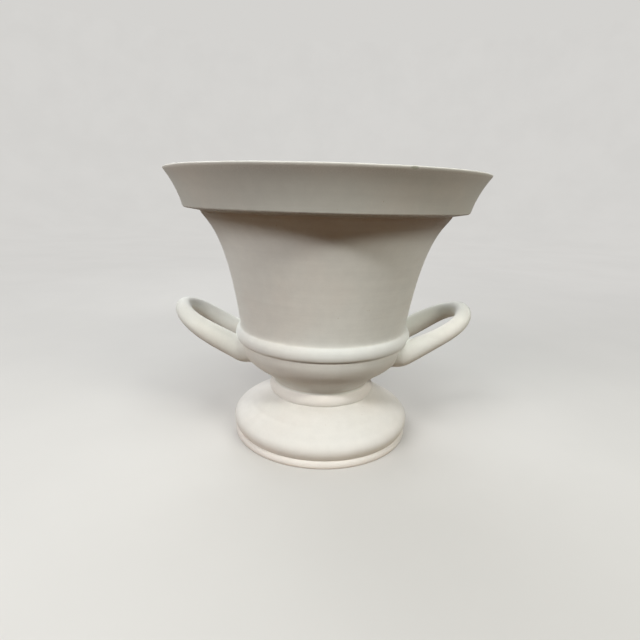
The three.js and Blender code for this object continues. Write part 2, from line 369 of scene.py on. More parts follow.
def plinth_outline():
    """The ring on the table, its groove, and the step that the dome sits round."""
    s = sizes()
    inner = s.plinth_radius - PLINTH_WIDTH
    step = inner + PLINTH_STEP
    top = PLINTH_TOP + PLINTH_STEP
    base = (s.base_radius, 0)
    bulge = s.base_radius + s.plinth_bulge
    edge = (s.plinth_radius, FOOT_SEAM - GROOVE_RISE)
    groove = (s.plinth_radius - s.groove_depth, FOOT_SEAM)
    return closed(
        line((inner, 0), base), BASE_ROUND,
        pulled(base, (bulge, BULGE_FOOT), (bulge, FOOT_SEAM - BULGE_TOP), edge), SMALL_ROUND,
        line(edge, groove, FINE), 0,
        line(groove, (step, PLINTH_TOP), COARSE), 0,
        line((step, PLINTH_TOP), (step, top)), SMALL_ROUND,
        line((step, top), (inner, top)), SMALL_ROUND,
        line((inner, top), (inner, 0)), INNER_ROUND,
    )


# Dome: its skirt, the pulls of its shoulder from the break, its neck in the collar, and its hollow's roof
SKIRT_INSET = 0.0062
SKIRT_RISE = 0.005
SHOULDER = ((-0.0045, 0.0034), (-0.0095, 0.0058))
NECK_LAP = 0.0002
NECK_RISE = 0.0042
ROOF_DROP = 0.0045
ROOF_PULL = (-0.004, -0.0033)


def dome_outline():
    """The domed foot: belly and shoulder, the neck that goes into the collar, and the hollow."""
    s = sizes()
    skirt = s.plinth_radius - SKIRT_INSET
    skirt_top = (skirt, PLINTH_TOP + SKIRT_RISE)
    groove = (s.plinth_radius - s.groove_depth, FOOT_SEAM - HAIR)
    edge = (s.plinth_radius - HAIR, FOOT_SEAM + HAIR)
    foot_break = np.array([s.break_radius, PLINTH_TOP + s.break_rise])
    lap, neck_top = COLLAR_FOOT + NECK_LAP, COLLAR_FOOT + NECK_RISE
    neck = (s.neck_radius, lap)
    seat = s.pedestal_radius - SEAT_INSET
    bore_foot = (s.bore_radius, COLLAR_FOOT - ROOF_DROP)
    roof = (skirt + ROOF_PULL[0], foot_break[1] + ROOF_PULL[1])
    return closed(
        line((skirt, PLINTH_TOP), groove, COARSE), 0,
        line(groove, edge, FINE), 0,
        arc(edge, *DOME_BELLY, foot_break), MEDIUM_ROUND,
        pulled(foot_break, *(foot_break + SHOULDER), neck), 0,
        line(neck, (seat, lap)), 0,
        line((seat, lap), (seat, neck_top)), 0,
        line((seat, neck_top), (s.bore_radius, neck_top)), 0,
        line((s.bore_radius, neck_top), bore_foot), SMALL_ROUND,
        pulled(bore_foot, roof, skirt_top, spacing=PLAIN), LARGE_ROUND,
        line(skirt_top, (skirt, PLINTH_TOP)), 0,
    )


# Collar: how far its top stays under the bowl's foot
COLLAR_DROP = 0.0005


def collar_outline():
    """The rounded collar over the joint of foot and bowl."""
    s = sizes()
    seat = s.pedestal_radius - SEAT_INSET + SEAT_GAP
    top = BOWL_FOOT - COLLAR_DROP
    return closed(
        line((seat, COLLAR_FOOT), (s.neck_radius, COLLAR_FOOT)), 0,
        arc((s.neck_radius, COLLAR_FOOT), *COLLAR, (s.pedestal_radius, top)), 0,
        line((s.pedestal_radius, top), (seat, top)), 0,
        line((seat, top), (seat, COLLAR_FOOT)), 0,
    )


# Bowl: its floor, the hollow's ceiling under it, and the cove at its foot
BOWL_FLOOR_RISE = 0.0183
BOWL_FLOOR_THICKNESS = 0.007
BOWL_FLOOR_CURVE = 0.005
CEILING_SHARE = 0.65
CEILING_CURVE = 0.008
BOWL_COVE = 0.0006


def bowl_outline():
    """The bowl with its floor, its seat for the bell, and its neck down into the collar."""
    s = sizes()
    floor_top = BOWL_FOOT + BOWL_FLOOR_RISE
    ceiling = floor_top - BOWL_FLOOR_THICKNESS
    ceiling_edge = (s.bore_radius * CEILING_SHARE, ceiling)
    bore_top = (s.bore_radius, ceiling - CEILING_CURVE)
    seat = s.waist_radius - SEAT_INSET
    inner = seat - s.wall
    lap, top = BEAD_FOOT + SEAT_GAP, BELL_JOINT - HAIR
    neck_joint = (COLLAR_FOOT + BOWL_FOOT) / 2
    neck_seat = s.pedestal_radius - SEAT_INSET
    outside = bowl_outside()
    cove = (s.pedestal_radius + BOWL_COVE, BOWL_FOOT - BOWL_COVE)
    return closed(
        line((0, ceiling), ceiling_edge, COARSE), 0,
        pulled(ceiling_edge, (s.bore_radius, ceiling), bore_top, spacing=PLAIN), 0,
        line(bore_top, (s.bore_radius, neck_joint)), 0,
        line((s.bore_radius, neck_joint), (neck_seat, neck_joint)), 0,
        line((neck_seat, neck_joint), (neck_seat, cove[1])), 0,
        line((neck_seat, cove[1]), cove), 0,
        pulled(cove, (s.pedestal_radius, BOWL_FOOT - 2 * HAIR), outside[2]), 0,
        outside[2:], 0,
        line(outside[-1], (seat, lap)), 0,
        line((seat, lap), (seat, top), COARSE), 0,
        line((seat, top), (inner, top), COARSE), 0,
        pulled(
            (inner, top), (inner, floor_top + BOWL_FLOOR_CURVE), (inner - BOWL_FLOOR_CURVE, floor_top),
            (0, floor_top), spacing=PLAIN,
        ), 0,
        line((0, floor_top), (0, ceiling), COARSE), 0,
    )


def bead_outline():
    """The bead over the joint of bowl and bell."""
    s = sizes()
    seat = s.waist_radius - SEAT_INSET + SEAT_GAP
    foot = BEAD_FOOT + HAIR
    edge, top = (s.bowl_radius - 2 * HAIR, foot), (s.waist_radius, BELL_FOOT)
    return closed(
        line((seat, foot), edge), 0,
        arc(edge, *BEAD_FACE, top), 0,
        line(top, (seat, BELL_FOOT)), 0,
        line((seat, BELL_FOOT), (seat, foot), COARSE), 0,
    )


# Bell: how far the cove at its foot stands out over the bead
BELL_COVE = 0.0009


def bell_outline():
    """The concave wall, its seat behind the bead, and its spigot inside the band."""
    s = sizes()
    outside = bell_outside()
    inside = offset_inward(outside, s.wall)[::-1]
    seat = s.waist_radius - SEAT_INSET
    foot = BELL_FOOT - 2 * HAIR
    spigot = s.mouth_radius - BAND_SEAT
    throat = (spigot - SPIGOT_WIDTH, SPIGOT_TOP)
    cove = (s.waist_radius + BELL_COVE, foot)
    return closed(
        line((seat - s.wall, BELL_JOINT), (seat, BELL_JOINT), COARSE), 0,
        line((seat, BELL_JOINT), (seat, foot), COARSE), 0,
        line((seat, foot), cove), 0,
        pulled(cove, (s.waist_radius + HAIR, BELL_FOOT + 2 * HAIR), outside[1]), 0,
        outside[1:], 0,
        line(outside[-1], (spigot, BAND_FOOT)), 0,
        line((spigot, BAND_FOOT), (spigot, SPIGOT_TOP), COARSE), 0,
        line((spigot, SPIGOT_TOP), throat), 0,
        line(throat, inside[0]), LARGE_ROUND,
        inside, LARGE_ROUND,
        line(inside[-1], (seat - s.wall, BELL_JOINT)), 0,
    )


# Rim: the share of the wave that is left free over the lip, and the pull of the throat from the lip
WAVE_ROOM = 0.7
THROAT_PULL = (-0.0066, -0.0145)


def rim_outline():
    """The flared band from its underside up to the lip, and down its throat to the bell."""
    s = sizes()
    lip = LIP_LEVEL - WAVE_ROOM * s.lip_wave
    spigot = s.mouth_radius - BAND_SEAT
    throat = (spigot - SPIGOT_WIDTH, SPIGOT_TOP)
    corner = np.array([s.band_foot_radius, BAND_FOOT + s.band_rise])
    edge = np.array([s.lip_radius, lip])
    middle = (corner + edge) / 2 + (-s.fascia_hollow, s.fascia_hollow / 2)
    inner = np.array([s.lip_radius - s.lip_width, lip])
    face = pulled(corner, middle, edge)
    shoulder = math.ceil(s.lip_shoulder / FINE)
    brow = (edge[0] - s.lip_round, lip)
    return closed(
        line((spigot, BAND_FOOT), (s.mouth_radius, BAND_FOOT)), 0,
        line((s.mouth_radius, BAND_FOOT), corner), s.edge_round,
        face[:-shoulder], 0,
        pulled(face[-shoulder], edge, brow, spacing=FINE / 2), 0,
        line(brow, inner, FINE), s.lip_round,
        pulled(inner, inner + THROAT_PULL, throat), MEDIUM_ROUND,
        line(throat, (spigot, SPIGOT_TOP)), 0,
        line((spigot, SPIGOT_TOP), (spigot, BAND_FOOT), COARSE), 0,
    )


# Node trees

def put(tree, kind, inputs=None, **settings):
    """Adds a node, sets it up, and fills its inputs with values or links."""
    node = tree.nodes.new(kind)
    for name, value in settings.items():
        setattr(node, name, value)
    for key, value in (inputs or {}).items():
        if isinstance(value, bpy.types.NodeSocket):
            tree.links.new(value, node.inputs[key])
        else:
            node.inputs[key].default_value = value
    return node


def maths(tree, operation, first, second=0.0, **settings):
    return put(tree, "ShaderNodeMath", {0: first, 1: second}, operation=operation, **settings).outputs[0]


def vector_maths(tree, operation, first, second=None):
    inputs = {0: first} if second is None else {0: first, 1: second}
    return put(tree, "ShaderNodeVectorMath", inputs, operation=operation).outputs[0]


def scaled(tree, vector, factor):
    node = put(tree, "ShaderNodeVectorMath", {0: vector, "Scale": factor}, operation="SCALE")
    return node.outputs[0]


# Each noise: its scale (cells to the metre, or 1 where its place is stretched), detail, roughness and seed
NOISES = {
    "wander": (16.0, 2.0, 0.5, 3.1),
    "swell": (21.0, 3.0, 0.55, 8.4),
    "dents": (42.0, 2.0, 0.5, 5.7),
    "warm": (17.0, 3.0, 0.55, 1.3),
    "cool": (24.0, 3.0, 0.55, 6.9),
    "blotch": (140.0, 5.0, 0.6, 4.2),
    "streak": (1.0, 4.0, 0.6, 9.5),
    "brush": (1.0, 3.0, 0.6, 7.7),
    "grain": (2600.0, 3.0, 0.6, 0.4),
    "sparse": (90.0, 2.0, 0.5, 5.1),
    "ragged": (1400.0, 2.0, 0.5, 2.2),
    "mottle": (6.0, 4.0, 0.6, 1.0),
}


def noise(tree, vector, kind):
    scale, detail, roughness, seed = NOISES[kind]
    inputs = {"Vector": vector, "W": seed, "Scale": scale, "Detail": detail, "Roughness": roughness}
    return put(tree, "ShaderNodeTexNoise", inputs, noise_dimensions="4D").outputs["Fac"]


def centred(tree, vector, kind):
    """The noise less its middle value, so that it pushes both ways."""
    return maths(tree, "SUBTRACT", noise(tree, vector, kind), 0.5)


def marked(tree, name):
    return put(tree, "GeometryNodeInputNamedAttribute", {"Name": name}, data_type="FLOAT").outputs[0]


def sampled(tree, geometry, value, index, kind="FLOAT"):
    """The value at that point of the geometry."""
    inputs = {0: geometry, 1: value, 2: index}
    return put(tree, "GeometryNodeSampleIndex", inputs, data_type=kind, domain="POINT").outputs[0]


def new_tree(name, sockets):
    """A geometry tree with a geometry output and the named inputs."""
    tree = bpy.data.node_groups.new(name, "GeometryNodeTree")
    tree.interface.new_socket("Geometry", in_out="OUTPUT", socket_type="NodeSocketGeometry")
    for label, kind in sockets:
        tree.interface.new_socket(label, in_out="INPUT", socket_type=kind)
    source = tree.nodes.new("NodeGroupInput").outputs
    return tree, source


def finish_tree(tree, geometry, material):
    real = put(tree, "GeometryNodeRealizeInstances", {"Geometry": geometry})
    painted = put(tree, "GeometryNodeSetMaterial", {"Geometry": real.outputs[0], "Material": material})
    put(tree, "NodeGroupOutput", {0: painted.outputs[0]})


# What is stored at each point of an outline, and goes round with it
MARKS = ("relief", "hollow")


def turning_tree():
    """Turns an outline round the vertical axis, with the small wander of a hand-finished pot."""
    tree, source = new_tree("turned_section", [
        ("Geometry", "NodeSocketGeometry"), ("Steps", "NodeSocketInt"), ("Wobble", "NodeSocketFloat"),
        ("Wave", "NodeSocketFloat"), ("Wave From", "NodeSocketFloat"), ("Wave To", "NodeSocketFloat"),
        ("Material", "NodeSocketMaterial"),
    ])
    size_of = put(tree, "GeometryNodeAttributeDomainSize", {0: source["Geometry"]}, component="MESH")
    rows = size_of.outputs["Point Count"]
    columns = put(tree, "FunctionNodeIntegerMath", {0: source["Steps"], 1: 1}, operation="ADD").outputs[0]
    grid = put(tree, "GeometryNodeMeshGrid", {"Vertices X": rows, "Vertices Y": columns})
    index = tree.nodes.new("GeometryNodeInputIndex").outputs[0]
    row = put(tree, "FunctionNodeIntegerMath", {0: index, 1: columns}, operation="DIVIDE_FLOOR").outputs[0]
    column = put(tree, "FunctionNodeIntegerMath", {0: index, 1: columns}, operation="MODULO").outputs[0]

    place = tree.nodes.new("GeometryNodeInputPosition").outputs[0]
    outline_place = sampled(tree, source["Geometry"], place, row, "FLOAT_VECTOR")
    turn = maths(tree, "MULTIPLY", maths(tree, "DIVIDE", column, source["Steps"]), 2 * math.pi)
    rotated = put(
        tree, "ShaderNodeVectorRotate", {"Vector": outline_place, "Angle": turn}, rotation_type="Z_AXIS"
    ).outputs[0]
    mesh = grid.outputs["Mesh"]
    for name in MARKS:
        value = sampled(tree, source["Geometry"], marked(tree, name), row)
        mesh = put(
            tree, "GeometryNodeStoreNamedAttribute", {"Geometry": mesh, "Name": name, "Value": value},
            data_type="FLOAT", domain="POINT",
        ).outputs[0]
    turned = put(tree, "GeometryNodeSetPosition", {"Geometry": mesh, "Position": rotated}).outputs[0]
    seam = {"Geometry": turned, "Distance": SAME_POINT}
    welded = put(tree, "GeometryNodeMergeByDistance", seam).outputs[0]

    flat = vector_maths(tree, "MULTIPLY", place, (1.0, 1.0, 0.0))
    outward = vector_maths(tree, "NORMALIZE", flat)
    push = scaled(tree, outward, maths(tree, "MULTIPLY", centred(tree, place, "wander"), source["Wobble"]))
    climb = put(tree, "ShaderNodeSeparateXYZ", {0: place}).outputs["Z"]
    near_lip = put(
        tree, "ShaderNodeMapRange",
        {"Value": climb, "From Min": source["Wave From"], "From Max": source["Wave To"]},
        interpolation_type="SMOOTHSTEP",
    ).outputs[0]
    swell = maths(tree, "MULTIPLY", centred(tree, place, "swell"), source["Wave"])
    lift = maths(tree, "MULTIPLY", swell, near_lip)
    offset = vector_maths(tree, "ADD", push, put(tree, "ShaderNodeCombineXYZ", {"Z": lift}).outputs[0])
    wandered = put(tree, "GeometryNodeSetPosition", {"Geometry": welded, "Offset": offset}).outputs[0]
    smooth = put(tree, "GeometryNodeSetShadeSmooth", {"Geometry": wandered}).outputs[0]
    finish_tree(tree, smooth, source["Material"])
    return tree


def tube_tree():
    """Sweeps a round section along a path, its radius given at each point, and dents it softly."""
    tree, source = new_tree("handle_tube", [
        ("Geometry", "NodeSocketGeometry"), ("Sides", "NodeSocketInt"), ("Dents", "NodeSocketFloat"),
        ("Material", "NodeSocketMaterial"),
    ])
    path = put(tree, "GeometryNodeMeshToCurve", {"Mesh": source["Geometry"]}).outputs[0]
    ring = put(tree, "GeometryNodeCurvePrimitiveCircle", {"Resolution": source["Sides"], "Radius": 1.0})
    sweep = {"Curve": path, "Profile Curve": ring.outputs["Curve"], "Scale": marked(tree, "thickness")}
    tube = put(tree, "GeometryNodeCurveToMesh", {**sweep, "Fill Caps": True}).outputs[0]
    place = tree.nodes.new("GeometryNodeInputPosition").outputs[0]
    normal = tree.nodes.new("GeometryNodeInputNormal").outputs[0]
    offset = scaled(tree, normal, maths(tree, "MULTIPLY", centred(tree, place, "dents"), source["Dents"]))
    dented = put(tree, "GeometryNodeSetPosition", {"Geometry": tube, "Offset": offset}).outputs[0]
    smooth = put(tree, "GeometryNodeSetShadeSmooth", {"Geometry": dented}).outputs[0]
    finish_tree(tree, smooth, source["Material"])
    return tree


def wire(name, points, attributes):
    """An object of points joined in a row, with a number at each point for each attribute."""
    edges = [(i, i + 1) for i in range(len(points) - 1)]
    mesh = bpy.data.meshes.new(name)
    mesh.from_pydata([tuple(p) for p in points], edges, [])
    for label, values in attributes.items():
        mark = mesh.attributes.new(label, "FLOAT", "POINT")
        mark.data.foreach_set("value", np.asarray(values, np.float32))
    obj = bpy.data.objects.new(name, mesh)
    bpy.context.scene.collection.objects.link(obj)
    return obj


def grow(obj, tree, values):
    """Runs the tree on the object and keeps the result as its plain mesh."""
    modifier = obj.modifiers.new("grow", "NODES")
    modifier.node_group = tree
    for item in tree.interface.items_tree:
        if item.in_out == "INPUT" and item.name in values:
            modifier[item.identifier] = values[item.name]
    return settle(obj)


def settle(obj):
    """Replaces the object's mesh with what its modifiers make, its faces turned outward."""
    obj.update_tag()
    bpy.context.view_layer.update()
    graph = bpy.context.evaluated_depsgraph_get()
    mesh = bpy.data.meshes.new_from_object(obj.evaluated_get(graph), depsgraph=graph)
    obj.modifiers.clear()
    old = obj.data
    obj.data = mesh
    bpy.data.meshes.remove(old)
    mesh.name = obj.name
    face_outward(mesh)
    return obj


def face_outward(mesh):
    """Drops the bare edges that turning leaves along the axis, and turns the faces outward."""
    work = bmesh.new()
    work.from_mesh(mesh)
    bare = [edge for edge in work.edges if not edge.link_faces]
    bmesh.ops.delete(work, geom=bare, context="EDGES")
    if work.calc_volume(signed=True) < 0:
        bmesh.ops.reverse_faces(work, faces=work.faces[:])
    work.to_mesh(mesh)
    work.free()


def read_points(mesh):
    points = np.zeros(len(mesh.vertices) * 3)
    mesh.vertices.foreach_get("co", points)
    return points.reshape(-1, 3)


def write_points(mesh, points):
    mesh.vertices.foreach_set("co", points.ravel())
    mesh.update()


def upright(outline):
    """The outline's points in space, standing over the x axis."""
    return np.stack([outline[:, 0], np.zeros(len(outline)), outline[:, 1]], 1)


def turn_round(name, outline, marks, values):
    """Turns an outline and the marks at its points round the vertical axis."""
    tree = bpy.data.node_groups.get("turned_section") or turning_tree()
    return grow(wire(name, upright(outline), marks), tree, values)


def turned_piece(name, outline, material, steps=None, wobble=None, wave=0.0):
    """A turned section from its closed outline."""
    s = sizes()
    x, y = outline[:, 0], outline[:, 1]
    if (x * np.roll(y, -1) - y * np.roll(x, -1)).sum() < 0:
        outline = outline[::-1]
    ring = np.append(np.arange(len(outline)), 0)
    marks = {"relief": relief(outline)[ring], "hollow": hollow(outline)[ring]}
    return turn_round(name, outline[ring], marks, {
        "Steps": steps or s.turning_steps,
        "Wobble": 2 * s.wobble if wobble is None else wobble,
        "Wave": 2 * wave,
        "Wave From": BAND_FOOT,
        "Wave To": LIP_LEVEL,
        "Material": material,
    })


def hand_in(obj, node):
    """Sets the finished piece in the frame in place of its plain solid."""
    obj.data.set_sharp_from_angle(angle=SHARP_ANGLE)
    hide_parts(node)
    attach(obj, BODY)


# Clay

# The Mix node's sockets for its factor and its two colours, and for its mixed colour
MIX_INPUTS = (0, 6, 7)
MIX_OUTPUT = 2


def mixed(tree, factor, first, second, blend="MIX"):
    node = put(tree, "ShaderNodeMix", data_type="RGBA", blend_type=blend)
    for key, value in zip(MIX_INPUTS, (factor, first, second)):
        socket = node.inputs[key]
        if isinstance(value, bpy.types.NodeSocket):
            tree.links.new(value, socket)
        else:
            socket.default_value = value
    return node.outputs[MIX_OUTPUT]


def ranged(tree, value, low, high, to_low=0.0, to_high=1.0):
    """Carries the span from low to high smoothly over to the other two levels."""
    inputs = {"Value": value, "From Min": low, "From Max": high, "To Min": to_low, "To Max": to_high}
    return put(tree, "ShaderNodeMapRange", inputs, interpolation_type="SMOOTHSTEP").outputs[0]


def vector_length(tree, vector):
    return put(tree, "ShaderNodeVectorMath", {0: vector}, operation="LENGTH").outputs["Value"]


def dimmed(tree, tone, level):
    grey = put(tree, "ShaderNodeCombineXYZ", {0: level, 1: level, 2: level}).outputs[0]
    return mixed(tree, 1.0, tone, grey, "MULTIPLY")


# Stretch of the turning streaks and the finer brush marks, and scale of the pinholes
STREAK_SCALE = (9.0, 9.0, 240.0)
BRUSH_SCALE = (30.0, 30.0, 700.0)
PIT_SCALE = 260.0

# Over which span of its pattern each effect comes in, and from what level to what level
WARM_SPAN = (0.42, 0.72)
COOL_SPAN = (0.45, 0.75)
MIDDLE_SPAN = (0.3, 0.7)
SPANS = {
    "blotched": (*MIDDLE_SPAN, 0.975, 1.015),
    "speckled": (*MIDDLE_SPAN, 0.975, 1.02),
    "mottled": (*MIDDLE_SPAN, 0.985, 1.015),
    # Creases are darkened partly by dirt and partly by painted shade.
    "crease_dust_and_shade": (0.15, 0.9, 0.0, 0.55),
    "dust gaps": (0.25, 0.7, 0.5, 1.0),
    "worn_and_lit": (0.2, 0.9, 0.0, 1.0),
    "wear_and_highlight gaps": (0.4, 0.6, 0.2, 0.7),
    "pits": (0.05, 0.12, 1.0, 0.0),
    "sparse": (0.56, 0.66, 0.0, 1.0),
    "spot": (0.85, 1.25, 1.0, 0.0),
    "gloss": (0.5, 1.1, -0.07, 0.09),
}

# How far the streaks darken and lighten the clay, and how strong each other effect is
STREAK_DARK = 0.07
STREAK_LIGHT = 0.03
# Edges lightened partly by wear and partly by painted highlight: how strongly, and toward which tone.
EDGE_WEAR_AND_HIGHLIGHT = 0.45
EDGE_WEAR_AND_HIGHLIGHT_TONE = (0.88, 0.87, 0.83, 1.0)
PIT_DUST = 0.45
SPOT_RAGGEDNESS = 0.5
STREAK_GLOSS = 0.6
SPECULAR = 0.42
DIFFUSE_ROUGHNESS = 0.4

# The bump: its strength, its depth, and how high each pattern stands in it
BUMP_STRENGTH = 0.55
BUMP_DEPTH = 0.0002
HEIGHTS = {"grain": 0.10, "brush": 0.22, "streak": 0.55, "blotch": 0.35, "pit": -0.6}


def spot(tree, place, centre, spread):
    """1 at the centre, falling to 0 at the edge of an ellipsoid of that spread, its rim broken by noise."""
    apart = vector_maths(tree, "DIVIDE", vector_maths(tree, "SUBTRACT", place, centre), spread)
    ragged = maths(tree, "MULTIPLY", noise(tree, place, "ragged"), SPOT_RAGGEDNESS)
    return ranged(tree, maths(tree, "ADD", vector_length(tree, apart), ragged), *SPANS["spot"])


def clay_patterns(tree, place):
    """The patterns that the clay's colour, gloss and bump share."""
    along = put(tree, "ShaderNodeMapping", {"Vector": place, "Scale": STREAK_SCALE}).outputs[0]
    brushed = put(tree, "ShaderNodeMapping", {"Vector": place, "Scale": BRUSH_SCALE}).outputs[0]
    pits = put(tree, "ShaderNodeTexVoronoi", {"Vector": place, "Scale": PIT_SCALE}, feature="F1")
    sparse = ranged(tree, noise(tree, place, "sparse"), *SPANS["sparse"])
    return {
        "blotch": noise(tree, place, "blotch"),
        "streak": noise(tree, along, "streak"),
        "brush": noise(tree, brushed, "brush"),
        "grain": noise(tree, place, "grain"),
        "pit": maths(tree, "MULTIPLY", ranged(tree, pits.outputs["Distance"], *SPANS["pits"]), sparse),
    }


def clay_tone(tree, place, patterns, base, spots):
    """The colour: patched, streaked, darkened in creases by dirt and painted shade, dusted in pits, lighter
    on edges by wear and painted highlight, spotted, and darker inside by painted shade.
    """
    look = bpy.context.scene.vase_clay
    dust_and_shade_tone = (*look.crease, 1.0)
    blotch = patterns["blotch"]
    warm = ranged(tree, noise(tree, place, "warm"), *WARM_SPAN, 0.0, look.patchiness)
    cool = ranged(tree, noise(tree, place, "cool"), *COOL_SPAN, 0.0, look.patchiness)
    tone = mixed(tree, warm, (*base, 1.0), (*look.warm, 1.0))
    tone = mixed(tree, cool, tone, (*look.cool, 1.0))
    darkest, lightest = 1.0 - STREAK_DARK * look.streaks, 1.0 + STREAK_LIGHT * look.streaks
    level = ranged(tree, patterns["streak"], *MIDDLE_SPAN, darkest, lightest)
    level = maths(tree, "MULTIPLY", level, ranged(tree, blotch, *SPANS["blotched"]))
    level = maths(tree, "MULTIPLY", level, ranged(tree, patterns["grain"], *SPANS["speckled"]))
    tone = dimmed(tree, tone, level)

    relief_mark, hollow_mark = (
        put(tree, "ShaderNodeAttribute", attribute_name=name).outputs["Fac"] for name in MARKS
    )
    # Creases darker: partly settled dirt, partly painted shade.
    crease_dust_and_shade = ranged(tree, maths(tree, "MULTIPLY", relief_mark, -1.0), *SPANS["crease_dust_and_shade"])
    dust_and_shade = maths(tree, "MULTIPLY", crease_dust_and_shade, ranged(tree, blotch, *SPANS["dust gaps"]))
    tone = mixed(tree, dust_and_shade, tone, dust_and_shade_tone)
    # Convex edges lighter: partly wear, partly painted highlight.
    worn_and_lit = ranged(tree, relief_mark, *SPANS["worn_and_lit"])
    worn_and_lit = maths(tree, "MULTIPLY", worn_and_lit, ranged(tree, blotch, *SPANS["wear_and_highlight gaps"]))
    worn_and_lit = maths(tree, "MULTIPLY", worn_and_lit, maths(tree, "SUBTRACT", 1.0, hollow_mark))
    tone = mixed(tree, maths(tree, "MULTIPLY", worn_and_lit, EDGE_WEAR_AND_HIGHLIGHT), tone, EDGE_WEAR_AND_HIGHLIGHT_TONE)
    tone = mixed(tree, maths(tree, "MULTIPLY", patterns["pit"], PIT_DUST), tone, dust_and_shade_tone)
    for centre, spread, tint, strength in spots:
        inside = spot(tree, place, centre, spread)
        tone = mixed(tree, maths(tree, "MULTIPLY", inside, strength), tone, (*tint, 1.0))
    # Painted shade inside the pot: inner walls and floor mixed toward the crease tone.
    inner_shade = maths(tree, "MULTIPLY", hollow_mark, look.inner_painted_shade)
    return mixed(tree, inner_shade, tone, dust_and_shade_tone)


def clay_bump(tree, patterns):
    height = 0.0
    for kind, rise in HEIGHTS.items():
        height = maths(tree, "ADD", maths(tree, "MULTIPLY", patterns[kind], rise), height)
    inputs = {"Strength": BUMP_STRENGTH, "Distance": BUMP_DEPTH, "Height": height}
    return put(tree, "ShaderNodeBump", inputs).outputs["Normal"]


def clay(name, base, spots=()):
    """Matt bisque of the base colour. Each spot is its centre, spread, tint and strength."""
    material = bpy.data.materials.new(name)
    material.use_nodes = True
    tree = material.node_tree
    shader = tree.nodes["Principled BSDF"]
    place = tree.nodes.new("ShaderNodeTexCoord").outputs["Object"]
    patterns = clay_patterns(tree, place)
    streak_gloss = maths(tree, "MULTIPLY", patterns["streak"], STREAK_GLOSS)
    gloss = ranged(tree, maths(tree, "ADD", patterns["blotch"], streak_gloss), *SPANS["gloss"])
    roughness = maths(tree, "ADD", gloss, bpy.context.scene.vase_clay.roughness)
    tree.links.new(clay_tone(tree, place, patterns, base, spots), shader.inputs["Base Color"])
    tree.links.new(roughness, shader.inputs["Roughness"])
    tree.links.new(clay_bump(tree, patterns), shader.inputs["Normal"])
    shader.inputs["Specular IOR Level"].default_value = SPECULAR
    shader.inputs["Diffuse Roughness"].default_value = DIFFUSE_ROUGHNESS
    return material


# Handles

# Points along the bend and along each tail, and sides of the tube
HANDLE_STEPS = 260
TAIL_STEPS = 26
HANDLE_SIDES = 56

# How square the loop is at its shoulders, and the steepest slope of the pot that is reckoned with
LOOP_POWER = 4
STEEPEST = 2

# The body that the arms are cut against, and the dirt and painted shade round their roots
CORE_STEPS = 192
ROOT_DUST_AND_SHADE_REACH = 0.0012
ROOT_DUST_AND_SHADE = 0.45


def body_profile():
    """Radius of the pot's outside as a function of height, for the handles to meet."""
    outside = np.concatenate([bowl_outside(), bell_outside()])
    return outside[:, 1], outside[:, 0]


def clearance(points):
    """How far each point lies outside the pot, measured square to its wall."""
    heights, radii = body_profile()
    radius = np.interp(points[:, 2], heights, radii)
    slope = np.interp(points[:, 2], heights, np.gradient(radii, heights))
    slope = np.clip(slope, -STEEPEST, STEEPEST)
    return (np.hypot(points[:, 0], points[:, 1]) - radius) / np.sqrt(1 + slope ** 2)


def handle_path(spread, loop, drop, first, last):
    """Points of a handle's middle line and its radius there. First and last are its arms' unevenness."""
    h = bpy.context.scene.vase_handles
    root_reach = math.sqrt(sizes().bowl_radius ** 2 - spread ** 2)
    reach = h.tip_radius - root_reach
    even = np.linspace(0, 1, HANDLE_STEPS)
    eased = (1 - np.cos(np.pi * even)) / 2
    t = (even + eased) / 2
    inside = np.linspace(-h.tail / reach, 0, TAIL_STEPS, endpoint=False)
    out = np.concatenate([inside, np.sin(np.pi * t), inside[::-1]])
    side = np.concatenate([np.ones(TAIL_STEPS), np.cos(np.pi * t), -np.ones(TAIL_STEPS)])
    outside = np.maximum(out, 0)

    levelled = h.level_start + h.level_share * np.logaddexp(0, (out - h.level_start) / h.level_share)
    climb = (h.rise - 4 * h.sag) * levelled + 4 * h.sag * outside ** 2
    inward = -h.turn_share * np.logaddexp(0, -out / h.turn_share)
    across = -loop * side - (spread - loop) * np.sign(side) * side ** LOOP_POWER
    narrowed = 1 + inward * reach / root_reach
    points = np.stack([root_reach + reach * out, across * narrowed, BEAD_FOOT - drop + climb], 1)
    fade = np.exp(-(np.minimum(out, 0) / h.fade_share) ** 2)
    flare = h.root_flare / (1 + np.exp(out / h.flare_share)) * fade
    radius = h.root_size + (h.bend_size - h.root_size) * outside + flare
    uneven = np.where(side[:, None] > 0, first, last) * ((4 * outside * (1 - outside)) ** 2)[:, None]
    points[:, 2] += uneven[:, 1]
    return points, radius + uneven[:, 0]


def slip_fillet(mesh, points):
    """Swells the tube where it nears the pot, as slip worked into the corner does."""
    h = bpy.context.scene.vase_handles
    spots = read_points(mesh)
    nearest = np.argmin(((spots[:, None, :] - points[None, :, :]) ** 2).sum(2), axis=1)
    away = unit(spots - points[nearest])
    apart = clearance(spots)
    gap = np.clip(apart, 0, h.fillet)
    swell = h.fillet - np.sqrt(h.fillet ** 2 - (h.fillet - gap) ** 2)
    sunk = np.clip(1 + apart / h.fillet, 0, 1)
    write_points(mesh, spots + away * (h.fillet_share * swell * sunk)[:, None])


def pot_core(depth):
    """The pot's outside, shrunk by the depth to which the arms are set in."""
    outside = np.concatenate([bowl_outside(), bead_outside()[1:], bell_outside()[1:]])
    outside = outside[np.argsort(outside[:, 1], kind="stable")]
    shrunk = outside - (depth, 0)
    foot, top = (0, outside[0, 1]), (0, outside[-1, 1])
    outline = np.concatenate([[foot], shrunk, [top]])
    return turned_piece("pot_core", outline, None, steps=CORE_STEPS, wobble=0.0)


